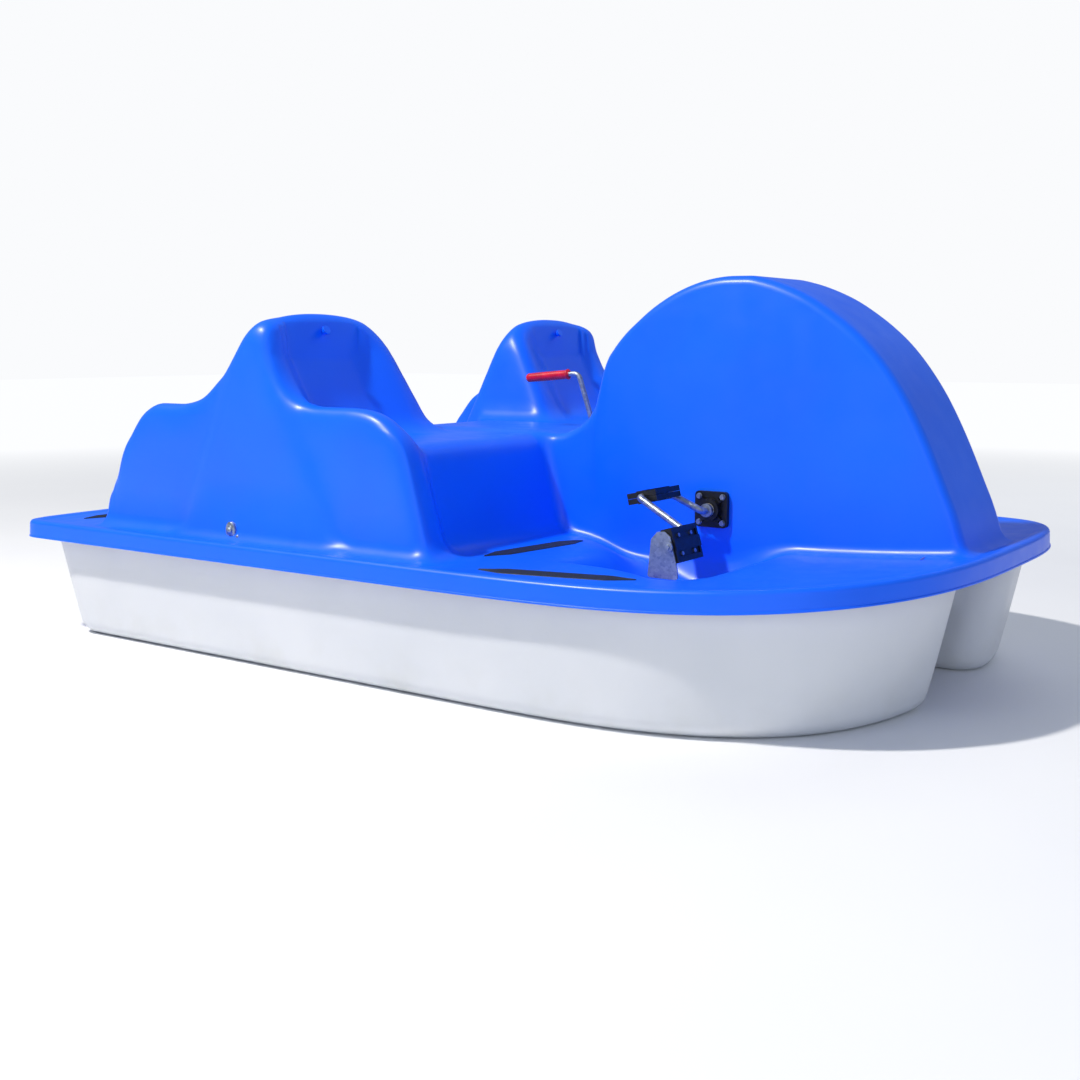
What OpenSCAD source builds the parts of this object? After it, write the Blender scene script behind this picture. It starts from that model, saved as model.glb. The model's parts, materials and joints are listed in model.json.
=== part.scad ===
// Four-seat pedal boat: a twin-pontoon hull, a moulded deck with back-to-back seats, a crank-driven
// paddle wheel in a round housing, and a hand lever that turns a rudder through a parallel link.
// +X is the bow, +Y is port, +Z is up. The origin is under the middle of the boat, at the keels.

/* [Hull] */
// overall length over the rim
boat_length = 2930; // [2400:10:3500]
// overall width over the rim
boat_width = 1970; // [1650:10:2350]
// width of the tunnel between the pontoons, at the keels
tunnel_width = 380; // [340:5:430]
// height of the tunnel roof above the keels
tunnel_height = 190; // [180:5:200]
// wall thickness of both mouldings
skin = 6; // [4:0.5:8]

/* [Deck] */
// height of the deck floor above the keels
floor_z = 360; // [350:5:380]
// how far the rim stands above the floor
rim_rise = 8; // [6:1:40]
// how far the rim's skirt hangs below the floor
skirt_drop = 48; // [30:1:60]
// width of the rim's top
rim_width = 62; // [50:1:80]
// height of the front seats above the floor
seat_height = 300; // [270:5:320]
// height of the rear seats above the floor
rear_seat_height = 240; // [200:5:280]
// height of the armrests above the floor
arm_height = 397; // [370:5:430]
// height of the seat backs above the floor
back_height = 660; // [600:5:700]
// thickness of the side walls
wall_thickness = 92; // [70:1:110]

/* [Paddle wheel] */
// width of the wheel housing and of the console behind it
housing_width = 360; // [340:5:400]
// distance of the wheel axis in front of the boat's middle
axis_x = 659; // [640:1:680]
// height of the wheel axis above the keels
axis_z = 468; // [460:1:480]
// outer radius of the wheel
wheel_radius = 450; // [400:5:452]
// number of blades
blade_count = 6; // [4:1:8]
// width of the blades along the axle
blade_width = 250; // [200:5:270]

/* [Cranks and pedals] */
// distance of the pedal pins from the axis
crank_throw = 110; // [95:1:115]
// radius of the crank bar
bar_r = 10; // [9:0.5:11]
// how far the cranks are turned at rest, in degrees
crank_angle = 26; // [0:1:90]
// length of a pedal along its pin
pedal_length = 132; // [110:1:134]
// depth of a pedal across its pin
pedal_depth = 92; // [80:1:96]

/* [Steering] */
// distance of the lever's shaft in front of the boat's middle
lever_x = 134; // [130:1:140]
// distance of the rudder post behind the boat's middle
rudder_back = 1080; // [1000:5:1100]
// length of the steering arm and of the tiller
arm_length = 60; // [45:1:62]
// radius of the lever's bar
lever_r = 8; // [7:0.5:9]

/* [Hidden] */

blue = [0, 0.15, 0.9];
white = [0.9, 0.9, 0.92];
black = [0.04, 0.05, 0.09];
steel = [0.55, 0.6, 0.68];
red = [0.75, 0.03, 0.08];
foam = [0.85, 0.87, 0.8];

t = skin;
eps = 0.05;
run = 0.06;                       // radial clearance of a running fit
half_l = boat_length / 2;
half_w = boat_width / 2;
kx = boat_length / 2930;          // lengthwise features follow the boat's length
ky = boat_width / 1970;           // crosswise features follow its width
rim_z = floor_z + rim_rise;
bow_start = 250 * kx;              // where the sides start to curve in towards the bow
stern_start = -1180 * kx;
skirt_z = floor_z - skirt_drop;
seat_z = floor_z + seat_height;
rear_seat_z = floor_z + rear_seat_height;
arm_z = floor_z + arm_height;
back_z = floor_z + back_height;
wall_y = half_w - 113 * ky;       // outer face of a side wall
wall_in = wall_y - wall_thickness;
hy = housing_width / 2;
flange_z = floor_z - t;           // the hull's flange meets the deck's underside
well_front = axis_x + wheel_radius + 31;
well_back = axis_x - wheel_radius - 15;
well_y = min(150, hy - 24);
well_r = crank_throw + 115;       // the pedal wells clear the side plates all the way round
well_in = 205;
well_out = 640;

// ---- outlines ----
// a closed outline: straight sides between xs0 and xf0, rounded to the stern xs and the bow xf
function arc_pt(u, n) = [pow(sin(u), 2 / n), pow(cos(u), 2 / n)];
function half_outline(b, xf, xs, xf0, xs0) = concat(
  [for (i = [0:2:90]) let (q = arc_pt(90 - i, 8)) [xs0 + (xs - xs0) * q[0], b * q[1]]],
  [for (i = [0:3:90]) let (q = arc_pt(i, 3.2)) [xf0 + (xf - xf0) * q[0], b * q[1]]]);
module plan(b, xf, xs) {
  h = half_outline(b, xf, xs, bow_start, stern_start);
  polygon(concat(h, [for (i = [len(h) - 1:-1:0]) [h[i][0], -h[i][1]]]));
}
module rim_plan(d) { offset(delta = -d) plan(half_w, half_l, -half_l); }

// a prism with its outline in X and Z, running from y0 to y1
module along_y(y0, y1) {
  translate([0, y1, 0]) rotate([90, 0, 0]) linear_extrude(y1 - y0) children();
}
// a prism with its outline in Y and Z, running from x0 to x1
module along_x(x0, x1) {
  translate([x0, 0, 0]) rotate([90, 0, 90]) linear_extrude(x1 - x0) children();
}
module both() { children(); mirror([0, 1, 0]) children(); }

// ---- deck ----
face_low = [-259 * kx, 680];       // the front of a seat back, where it meets the seat
back_apex = [-468 * kx, back_z + 39];
module rounded(r) { offset(r = r, $fn = 24) offset(delta = -r) children(); }
module filleted(r) { offset(r = -r, $fn = 24) offset(delta = r) children(); }

// outline of a side wall seen from the side: rear end, rear armrest, sweep up to the seat back,
// front armrest, front end
module wall_2d() {
  rounded(30) polygon([[-1147 * kx, 200], [-1145 * kx, floor_z + 70], [-1100 * kx, floor_z + 180],
    [-1035 * kx, floor_z + 305], [-965 * kx, arm_z], [-800 * kx, arm_z], [-700 * kx, arm_z + 26],
    [-636 * kx, arm_z + 75], [-560 * kx, arm_z + 150], [-400 * kx, arm_z + 150], [-300 * kx, arm_z],
    [10 * kx, arm_z], [60 * kx, arm_z - 60], [100 * kx, floor_z + 240], [150 * kx, floor_z + 105],
    [180 * kx, floor_z], [190 * kx, 200]]);
}
// outline of a seat back seen from the side: leaning back in front, and the other way behind
module back_2d() {
  rounded(26) polygon([[-83 * kx, 360], face_low, back_apex, [-614 * kx, 680], [-741 * kx, 360]]);
}
// bell outline of a seat back seen from the front
module bell_2d() {
  w = wall_y;
  h = back_z;
  polygon(concat([[300 * ky, 200]],
    [for (i = [0:4:90]) [600 * ky - 300 * ky * pow(cos(i), 0.62), h - (h - 640) * (1 - pow(sin(i), 0.8))]],
    [for (i = [4:4:90]) [600 * ky + (w - 600 * ky) * pow(sin(i), 0.8), h - 110 * (1 - pow(cos(i), 0.9))]],
    [[w, 200]]));
}
// seats across the boat: front lip, console level, rear lip
module seats_2d() {
  rounded(14) polygon([[170 * kx, 150], [148 * kx, floor_z], [68 * kx, seat_z], [-495 * kx, seat_z],
    [-512 * kx, rear_seat_z], [-985 * kx, rear_seat_z], [-1062 * kx, floor_z], [-1080 * kx, 150]]);
}
// the housing: an arc about the wheel, a tighter rounded back and a sloping foot in front
module housing_2d() {
  r = wheel_radius + 205;
  rounded(10) union() {
    intersection() {
      translate([axis_x - 4, axis_z + 7]) circle(r = r, $fn = 128);
      translate([axis_x - 60, 100]) square([r + 200, r + 500]);
    }
    hull() {
      translate([axis_x - 55, axis_z + 270]) circle(r = r - 315, $fn = 96);
      translate([axis_x - 60, 100]) square([100, axis_z + r - 100 - 4]);
      translate([axis_x - 405, 100]) square([10, 300]);
    }
    polygon([[60 * kx, 100], [60 * kx, seat_z], [lever_x + 30, seat_z], [axis_x - 454, seat_z + 36],
      [axis_x - 416, seat_z + 90], [axis_x - 392, seat_z + 150], [axis_x - 340, seat_z + 160],
      [axis_x - 340, 100]]);
    polygon([[axis_x, 100], [axis_x + 720, 100], [axis_x + 700, floor_z + 40],
      [axis_x + 600, axis_z + 270], [axis_x, axis_z + 400]]);
  }
}
// the deck's outer form, drawn smaller by g on every side
module deck_form(g) {
  low = g > 0 ? 100 : skirt_z;
  translate([0, 0, low]) linear_extrude(floor_z - g - low) rim_plan(g);
  translate([0, 0, low]) linear_extrude(rim_z - g - low) difference() {
    rim_plan(g);
    rim_plan(rim_width - g);
  }
  intersection() {
    translate([0, 0, low]) linear_extrude(1400) rim_plan(rim_width - 10 + g);
    union() {
      both() along_y(-wall_y + g, -wall_in - g) offset(delta = -g) wall_2d();
      both() intersection() {
        along_y(200, wall_y - g) offset(delta = -g) back_2d();
        along_x(-1000, 200) offset(delta = -g) bell_2d();
      }
      along_y(-wall_in - 4 - g, wall_in + 4 + g) offset(delta = -g) seats_2d();
      along_y(-hy + g, hy - g) offset(delta = -g) housing_2d();
    }
  }
}
// the round-bottomed wells the pedals swing through; drawn larger by g and cut off at the floor
// for their skin
module pedal_wells(g) {
  both() intersection() {
    translate([axis_x, well_out + g, axis_z]) rotate([90, 0, 0])
      cylinder(h = well_out - well_in + 2 * g, r = well_r + g, $fn = 96);
    translate([axis_x - 400, 0, 0]) cube([800, 900, g > 0 ? floor_z : floor_z + rim_rise + 60]);
  }
}
screw_xy = [for (h = [half_outline(half_w - 30, half_l - 30, -half_l + 30, bow_start, stern_start)],
  i = [8, 24, 42, 47, 56, 62, 68, 74]) [h[i][0], h[i][1]]];
side_screw_x = [for (i = [-3:2]) (-760 + 220 * (i + 3)) * kx];
screw_list = concat(screw_xy, [for (x = side_screw_x) [x, half_w - 30]]);
bolt_dx = 37;
module bearing_holes(r) {
  for (a = [-1, 1], b = [-1, 1]) translate([axis_x + a * bolt_dx, 0, axis_z + b * bolt_dx])
    rotate([90, 0, 0]) cylinder(h = 3 * hy, r = r, center = true, $fn = 32);
}
// a frame on the leaning front face of the port seat back, near its top
module back_plug_frame() {
  v = back_apex - face_low;
  p = face_low + 0.766 * v;
  translate([p[0], 615 * ky, p[1]]) rotate([0, atan2(v[1], -v[0]), 0]) children();
}
drain_x = -554 * kx;
drain_z = floor_z + 44;
module deck_shell() {
  color(blue) difference() {
    union() {
      difference() {
        union() {
          deck_form(0);
          pedal_wells(t);
        }
        difference() {
          deck_form(t);
          pedal_wells(t);
        }
      }
      both() for (p = screw_list) translate([p[0], p[1], flange_z])
        cylinder(h = rim_z - t - flange_z + 1, r = 8, $fn = 24);
    }
    pedal_wells(0);
    both() for (p = screw_list) translate([p[0], p[1], flange_z - 1])
      cylinder(h = rim_z - flange_z - 1, r = 2.1, $fn = 16);
    bearing_holes(4.5);
    translate([axis_x, 0, axis_z]) rotate([90, 0, 0])
      cylinder(h = 3 * hy, r = 22, center = true, $fn = 64);
    translate([lever_x, 0, seat_z - 3 * t]) cylinder(h = 60, r = 14, $fn = 48);
    both() back_plug_frame() cylinder(h = 80, r = 8.1, center = true, $fn = 32);
    both() translate([drain_x, wall_y - 30, drain_z]) rotate([-90, 0, 0])
      cylinder(h = 60, r = 11, $fn = 32);
    both() translate([drain_x + 34, wall_y - 30, drain_z - 20]) rotate([-90, 0, 0])
      cylinder(h = 60, r = 2.6, $fn = 24);
  }
}

// ---- hull ----
// one pontoon's outline in plan, drawn smaller by g, at a given spread of the flare
module pontoon_plan(b, xf, xs, inner, g) {
  intersection() {
    offset(delta = -g) plan(b, xf, xs);
    rounded(70) translate([xs - 60, inner + g]) square([xf - xs + 60 - g, 2 * b]);
  }
}
module pontoon(g) {
  inner = tunnel_width / 2;
  low = g > 0 ? g : 0;
  top = flange_z + (g > 0 ? 1 : 0);
  hull() {
    translate([0, 0, low]) linear_extrude(0.5)
      pontoon_plan(half_w - 112, half_l - 175, -half_l + 195, inner + 38, g);
    translate([0, 0, 38]) linear_extrude(0.5)
      pontoon_plan(half_w - 78, half_l - 140, -half_l + 168, inner + 4, g);
    translate([0, 0, top - 0.5]) linear_extrude(0.5)
      pontoon_plan(half_w - 42, half_l - 78, -half_l + 118, inner - 14, g);
  }
}
module hull_solid(g) {
  both() pontoon(g);
  intersection() {
    translate([0, 0, tunnel_height + g]) linear_extrude(flange_z - tunnel_height - g + (g > 0 ? 1 : 0))
      offset(delta = -g) plan(half_w - 42, half_l - 78, -half_l + 118);
    translate([-2000, -tunnel_width / 2 - 30, 0]) cube([4000, tunnel_width + 60, 900]);
  }
}
module well_box(g) {
  translate([well_back - g, -well_y - g, tunnel_height - 1])
    cube([well_front - well_back + 2 * g, 2 * well_y + 2 * g, flange_z - 24 - tunnel_height]);
}
module hull_shell() {
  color(white) difference() {
    union() {
      difference() {
        hull_solid(0);
        hull_solid(t);
      }
      translate([0, 0, flange_z - t]) linear_extrude(t) difference() {
        rim_plan(t + 6);
        offset(delta = -t) plan(half_w - 42, half_l - 78, -half_l + 118);
      }
      well_box(t);
      translate([well_back - t, -well_y - t, tunnel_height])
        cube([t, 2 * well_y + 2 * t, seat_z - 40 - tunnel_height]);
    }
    translate([0, 0, -2]) well_box(0);
    translate([0, 0, 40]) well_box(0);
    both() for (p = screw_list) translate([p[0], p[1], flange_z - 20])
      cylinder(h = 40, r = 2.6, $fn = 16);
    translate([-rudder_back * kx, 0, tunnel_height - 20]) cylinder(h = 60, r = 16, $fn = 48);
  }
}
module foam_block() {
  color(foam) translate([-1000 * kx, tunnel_width / 2 + 60, 46])
    cube([1850 * kx, half_w - tunnel_width / 2 - 190, 110]);
}
module foam_port() { foam_block(); }
module foam_starboard() { mirror([0, 1, 0]) foam_block(); }
module rim_screws() {
  color(steel) both() for (p = screw_list) translate([p[0], p[1], 0]) {
    translate([0, 0, flange_z - t - 3]) cylinder(h = 3, r = 5, $fn = 24);
    translate([0, 0, flange_z - t - 1]) cylinder(h = rim_z - flange_z + t - 2, r = 2, $fn = 16);
  }
}

// ---- trim ----
// a ribbed strip with pointed ends, from p to q
module strip(p, q, w) {
  v = q - p;
  l = norm(v);
  translate([p[0], p[1], floor_z]) rotate([0, 0, atan2(v[1], v[0])]) {
    linear_extrude(2.5) polygon([[0, 0], [w, w / 2], [l - w, w / 2], [l, 0], [l - w, -w / 2], [w, -w / 2]]);
    for (k = [-1:1]) translate([w, k * w / 4 - 1.5, 2]) cube([l - 2 * w, 3, 2]);
  }
}
module strips_riser() {
  color(black) both() strip([236 * kx, 700 * ky], [286 * kx, 290 * ky], 30);
}
module strips_rim() {
  color(black) both() strip([350 * kx, 858 * ky], [765 * kx, 765 * ky], 30);
}
module strips_stern() {
  color(black) both() strip([-1330 * kx, 830 * ky], [-1330 * kx, 300 * ky], 30);
}
module back_plugs() {
  color(blue) both() back_plug_frame() {
    translate([0, 0, 3]) cylinder(h = 5, r = 14, $fn = 48);
    translate([0, 0, -8]) cylinder(h = 12, r = 8, $fn = 32);
  }
}
module drain_frame() {
  translate([drain_x, wall_y, drain_z]) rotate([-90, 0, 0]) children();
}
module drain_flanges() {
  color(steel) both() drain_frame() difference() {
    union() {
      linear_extrude(4) intersection() {
        circle(r = 26, $fn = 48);
        square([38, 60], center = true);
      }
      translate([0, 0, -16]) cylinder(h = 18, r = 10.9, $fn = 32);
    }
    translate([0, 0, -20]) cylinder(h = 40, r = 7.6, $fn = 32);
  }
}
module drain_plugs() {
  color(steel) both() drain_frame() {
    translate([0, 0, -12]) cylinder(h = 20, r = 7.5, $fn = 32);
    translate([0, 0, 4.2]) cylinder(h = 4, r = 11.5, $fn = 48);
    translate([-9, -2, 7]) cube([18, 4, 5]);
  }
}
module tether_screws() {
  color(black) both() translate([drain_x + 34, wall_y, drain_z - 20]) rotate([-90, 0, 0]) {
    cylinder(h = 3.5, r = 6, $fn = 32);
    translate([0, 0, -12]) cylinder(h = 13, r = 2.5, $fn = 24);
  }
}

// ---- bearings ----
block_w = 102;
block_h = 14;
boss_h = 32;
module bearing_block() {
  color(black) translate([axis_x, hy, axis_z]) rotate([-90, 0, 0]) difference() {
    union() {
      linear_extrude(block_h) rounded(12) square(block_w, center = true);
      cylinder(h = boss_h, r = 32, $fn = 64);
      for (a = [45, 135]) rotate([0, 0, a]) translate([-46, -7, 5]) cube([92, 14, 16]);
    }
    translate([0, 0, -1]) cylinder(h = boss_h + 2, r = 15.05, $fn = 64);
    for (a = [-1, 1], b = [-1, 1]) translate([a * bolt_dx, b * bolt_dx, -1]) {
      cylinder(h = block_h + 30, r = 4.5, $fn = 32);
      translate([0, 0, block_h + 1]) cylinder(h = 30, r = 11, $fn = 32);
    }
  }
}
module bearing_bush() {
  color([0.8, 0.8, 0.76]) translate([axis_x, hy, axis_z]) rotate([-90, 0, 0]) difference() {
    union() {
      cylinder(h = boss_h, r = 15, $fn = 64);
      translate([0, 0, boss_h]) cylinder(h = 2, r = 19, $fn = 64);
    }
    translate([0, 0, -1]) cylinder(h = boss_h + 4, r = bar_r + run, $fn = 64);
  }
}
module bearing_block_port() { bearing_block(); }
module bearing_block_starboard() { mirror([0, 1, 0]) bearing_block(); }
module bearing_bush_port() { bearing_bush(); }
module bearing_bush_starboard() { mirror([0, 1, 0]) bearing_bush(); }
module bearing_bolts() {
  color(steel) both() for (a = [-1, 1], b = [-1, 1])
    translate([axis_x + a * bolt_dx, hy + block_h, axis_z + b * bolt_dx]) rotate([-90, 0, 0]) {
      cylinder(h = 1.5, r = 8.5, $fn = 32);
      cylinder(h = 7, r = 7.5, $fn = 6);
      translate([0, 0, -block_h - t - 12]) cylinder(h = block_h + t + 13, r = 4, $fn = 32);
    }
}
module bearing_nuts() {
  color(steel) both() for (a = [-1, 1], b = [-1, 1])
    translate([axis_x + a * bolt_dx, hy - t, axis_z + b * bolt_dx]) rotate([90, 0, 0]) difference() {
      union() {
        cylinder(h = 1.5, r = 9, $fn = 32);
        cylinder(h = 7.5, r = 7.5, $fn = 6);
      }
      translate([0, 0, -1]) cylinder(h = 12, r = 4.05, $fn = 32);
    }
}

// ---- paddle wheel ----
hub_half = 104;
plate_y = 80;                      // inner face of a side plate
module wheel_frame() { translate([axis_x, 0, axis_z]) rotate([90, 0, 0]) children(); }
blade_start = 18;                  // turns the blades clear of the bearing bolts at rest
module wheel_hub() {
  color(steel) wheel_frame() difference() {
    union() {
      cylinder(h = 2 * hub_half, r = 24, center = true, $fn = 64);
      for (s = [-1, 1]) translate([0, 0, s * (plate_y - 4)]) cylinder(h = 8, r = 60, center = true, $fn = 64);
    }
    cylinder(h = 3 * hub_half, r = bar_r + eps, center = true, $fn = 64);
    for (s = [-1, 1], a = [0:90:270]) rotate([0, 0, a + 45]) translate([44, 0, s * plate_y])
      cylinder(h = 40, r = 4.2, center = true, $fn = 24);
    for (s = [-1, 1]) translate([0, 0, s * 45]) rotate([90, 0, 0])
      cylinder(h = 80, r = 4.05, center = true, $fn = 24);
  }
}
lug_in = wheel_radius - 150;
lug_out = wheel_radius - 20;
module wheel_side() {
  color(steel) wheel_frame() difference() {
    translate([0, 0, plate_y]) union() {
      cylinder(h = 8, r = 74, $fn = 96);
      for (i = [0:blade_count - 1]) rotate([0, 0, blade_start + 360 * i / blade_count]) {
        translate([40, -24, 0.5]) cube([wheel_radius - 66, 19, 7]);
        translate([lug_in, -17, 2]) cube([lug_out - lug_in, 17, 32]);
      }
    }
    cylinder(h = 300, r = 24.3, $fn = 64);
    for (a = [0:90:270]) rotate([0, 0, a + 45]) translate([44, 0, plate_y])
      cylinder(h = 40, r = 4.2, center = true, $fn = 24);
    for (i = [0:blade_count - 1], r = [lug_in + 30, lug_out - 30])
      rotate([0, 0, blade_start + 360 * i / blade_count]) translate([r, 0, plate_y + 22])
        rotate([90, 0, 0]) cylinder(h = 80, r = 4.2, center = true, $fn = 24);
  }
}
module wheel_side_starboard() { wheel_side(); }
module wheel_side_port() { mirror([0, 1, 0]) wheel_side(); }
module each_blade_hole() {
  for (i = [0:blade_count - 1], r = [lug_in + 30, lug_out - 30], s = [-1, 1])
    rotate([0, 0, blade_start + 360 * i / blade_count])
      translate([r, 0, s * (plate_y + 22)]) rotate([-90, 0, 0]) children();
}
module wheel_blades() {
  color(black) wheel_frame() difference() {
    for (i = [0:blade_count - 1]) rotate([0, 0, blade_start + 360 * i / blade_count])
      translate([lug_in - 20, 0, -blade_width / 2]) cube([wheel_radius - lug_in + 19, 8, blade_width]);
    each_blade_hole() cylinder(h = 60, r = 4.2, center = true, $fn = 24);
  }
}
module blade_bolts() {
  color(steel) wheel_frame() each_blade_hole() {
    translate([0, 0, 8]) cylinder(h = 5.5, r = 7, $fn = 6);
    translate([0, 0, -27]) cylinder(h = 36, r = 4, $fn = 24);
  }
}
module blade_nuts() {
  color(steel) wheel_frame() each_blade_hole() difference() {
    translate([0, 0, -23.8]) cylinder(h = 6.5, r = 7, $fn = 6);
    translate([0, 0, -30]) cylinder(h = 30, r = 4.05, $fn = 24);
  }
}
module hub_bolts() {
  color(steel) wheel_frame() for (s = [0, 1], a = [0:90:270]) mirror([0, 0, s]) rotate([0, 0, a + 45])
    translate([44, 0, plate_y]) {
      translate([0, 0, 8]) cylinder(h = 5.5, r = 7, $fn = 6);
      translate([0, 0, -14]) cylinder(h = 23, r = 4, $fn = 24);
      translate([0, 0, -14.5]) cylinder(h = 6.5, r = 7, $fn = 6);
    }
}
module hub_pins() {
  color(steel) wheel_frame() for (s = [-1, 1]) translate([0, 0, s * 45]) rotate([90, 0, 0]) {
    cylinder(h = 60, r = 4, center = true, $fn = 24);
    translate([0, 0, 24.5]) cylinder(h = 5.5, r = 7, $fn = 6);
  }
}

// ---- cranks ----
pin_dx = crank_throw * cos(crank_angle);
pin_dz = crank_throw * sin(crank_angle);
in1 = hy + 97;                     // inner end of the inner pedal
out1 = in1 + pedal_length;
in2 = out1 + 59;                   // inner end of the outer pedal
out2 = in2 + pedal_length;
pin_end = out2 + 8;
crank_pts = [[0, 4, 0], [0, in1 - 31, 0], [-pin_dx, in1 - 13, pin_dz], [-pin_dx, out1 + 13, pin_dz],
  [pin_dx, in2 - 13, -pin_dz], [pin_dx, pin_end, -pin_dz]];
module rod(p, q, r) {
  v = q - p;
  l = norm(v);
  translate(p) rotate([0, acos(v[2] / l), atan2(v[1], v[0])]) cylinder(h = l, r = r, $fn = 48);
}
function unit(v) = v / norm(v);
// a bar of radius r bent at each inner point of the path to the radius b
module bent_bar(path, r, b) {
  n = len(path);
  d = [for (i = [0:n - 2]) unit(path[i + 1] - path[i])];
  turn = [for (i = [1:n - 2]) acos(d[i - 1] * d[i])];
  trim = concat([0], [for (i = [0:n - 3]) b * tan(turn[i] / 2)], [0]);
  for (i = [0:n - 2]) rod(path[i] + trim[i] * d[i], path[i + 1] - trim[i + 1] * d[i], r);
  for (i = [1:n - 2]) {
    inward = unit(d[i] - cos(turn[i - 1]) * d[i - 1]);
    c = path[i] - trim[i] * d[i - 1] + b * inward;
    x = -inward;
    y = d[i - 1];
    z = cross(x, y);
    multmatrix([[x[0], y[0], z[0], c[0]], [x[1], y[1], z[1], c[1]], [x[2], y[2], z[2], c[2]]])
      rotate_extrude(angle = turn[i - 1], $fn = 96) translate([b, 0]) circle(r = r, $fn = 48);
  }
}
module crank() {
  color(steel) translate([axis_x, 0, axis_z]) difference() {
    bent_bar(crank_pts, bar_r, bar_r + 4);
    translate([0, 45, 0]) cylinder(h = 60, r = 4.05, center = true, $fn = 24);
    translate([pin_dx, pin_end + 1, -pin_dz]) rotate([90, 0, 0]) cylinder(h = 28, r = 4.05, $fn = 24);
  }
}
module crank_port() { crank(); }
module crank_starboard() { mirror([0, 1, 0]) crank(); }
module shaft_collars() {
  color(steel) both() translate([axis_x, hy + boss_h + 2.5, axis_z]) rotate([-90, 0, 0]) difference() {
    union() {
      cylinder(h = 12, r = 19, $fn = 64);
      translate([0, 0, 6]) rotate([0, 90, 20]) cylinder(h = 21, r = 4, $fn = 6);
    }
    translate([0, 0, -1]) cylinder(h = 20, r = bar_r + eps, $fn = 64);
  }
}
module pin_frame() {
  translate([axis_x + pin_dx, pin_end, axis_z - pin_dz]) rotate([-90, 0, 0]) children();
}
module pin_washers() {
  color(steel) both() pin_frame() difference() {
    cylinder(h = 3, r = 14, $fn = 48);
    translate([0, 0, -1]) cylinder(h = 5, r = 4.2, $fn = 24);
  }
}
module pin_bolts() {
  color(steel) both() pin_frame() {
    translate([0, 0, 3]) cylinder(h = 5, r = 7, $fn = 6);
    translate([0, 0, -24]) cylinder(h = 28, r = 4, $fn = 24);
  }
}

// ---- pedals ----
half_t = 17.5;
split = 0.5;                       // half the gap between the two clamp halves
tilt_in = -13;                     // how an inner pedal lies at rest, in degrees
tilt_out = 74;                     // how an outer pedal lies at rest
// a frame at a pedal's inner end: local X across the pin, local Y along it, local Z out of the face
module pedal_frame(dx, dz, y0, tilt, side) {
  mirror([0, side > 0 ? 0 : 1, 0]) translate([axis_x + dx, y0, axis_z + dz]) rotate([0, tilt, 0]) children();
}
module pedal_half(up) {
  color(black) mirror([0, 0, up > 0 ? 0 : 1]) difference() {
    union() {
      translate([-pedal_depth / 2, 0, split]) cube([pedal_depth, pedal_length, 11]);
      translate([-15, 0, split]) cube([30, pedal_length, half_t - split + 0.5]);
      for (s = [-1, 1]) translate([s * (pedal_depth / 2 - 7) - 7, 0, split]) cube([14, pedal_length, 15]);
      for (y = [0, pedal_length - 8]) translate([-pedal_depth / 2, y, split]) cube([pedal_depth, 8, 15]);
    }
    translate([0, -1, 0]) rotate([-90, 0, 0]) cylinder(h = pedal_length + 2, r = bar_r + run, $fn = 64);
    for (x = [-24, 24], y = [34, pedal_length - 34]) translate([x, y, -1])
      cylinder(h = 40, r = 3.2, $fn = 24);
  }
}
module pedal_screws() {
  color(steel) for (x = [-24, 24], y = [34, pedal_length - 34]) translate([x, y, 0]) {
    cylinder(h = 30, r = 3, center = true, $fn = 24);
    translate([0, 0, 11.5]) cylinder(h = 4, r = 6, $fn = 6);
    translate([0, 0, -16]) cylinder(h = 4.5, r = 6, $fn = 6);
  }
}
module plate() {
  color(steel) translate([axis_x + pin_dx, out2 + 1.5, axis_z - pin_dz]) difference() {
    along_y(0, 4) rounded(8) polygon([[-62, -84], [28, -84], [26, -56], [4, 26], [-12, 38], [-34, 36],
      [-52, 16]]);
    rotate([-90, 0, 0]) cylinder(h = 20, r = bar_r + 0.4, center = true, $fn = 48);
  }
}
module pedal_pi_front() { pedal_frame(-pin_dx, pin_dz, in1, tilt_in, 1) pedal_half(1); }
module pedal_pi_rear() { pedal_frame(-pin_dx, pin_dz, in1, tilt_in, 1) pedal_half(-1); }
module pedal_pi_screws() { pedal_frame(-pin_dx, pin_dz, in1, tilt_in, 1) pedal_screws(); }
module pedal_po_front() { pedal_frame(pin_dx, -pin_dz, in2, tilt_out, 1) pedal_half(1); }
module pedal_po_rear() { pedal_frame(pin_dx, -pin_dz, in2, tilt_out, 1) pedal_half(-1); }
module pedal_po_screws() { pedal_frame(pin_dx, -pin_dz, in2, tilt_out, 1) pedal_screws(); }
module pedal_po_plate() { plate(); }
module pedal_si_front() { pedal_frame(-pin_dx, pin_dz, in1, tilt_in, -1) pedal_half(1); }
module pedal_si_rear() { pedal_frame(-pin_dx, pin_dz, in1, tilt_in, -1) pedal_half(-1); }
module pedal_si_screws() { pedal_frame(-pin_dx, pin_dz, in1, tilt_in, -1) pedal_screws(); }
module pedal_so_front() { pedal_frame(pin_dx, -pin_dz, in2, tilt_out, -1) pedal_half(1); }
module pedal_so_rear() { pedal_frame(pin_dx, -pin_dz, in2, tilt_out, -1) pedal_half(-1); }
module pedal_so_screws() { pedal_frame(pin_dx, -pin_dz, in2, tilt_out, -1) pedal_screws(); }
module pedal_so_plate() { mirror([0, 1, 0]) plate(); }

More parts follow.
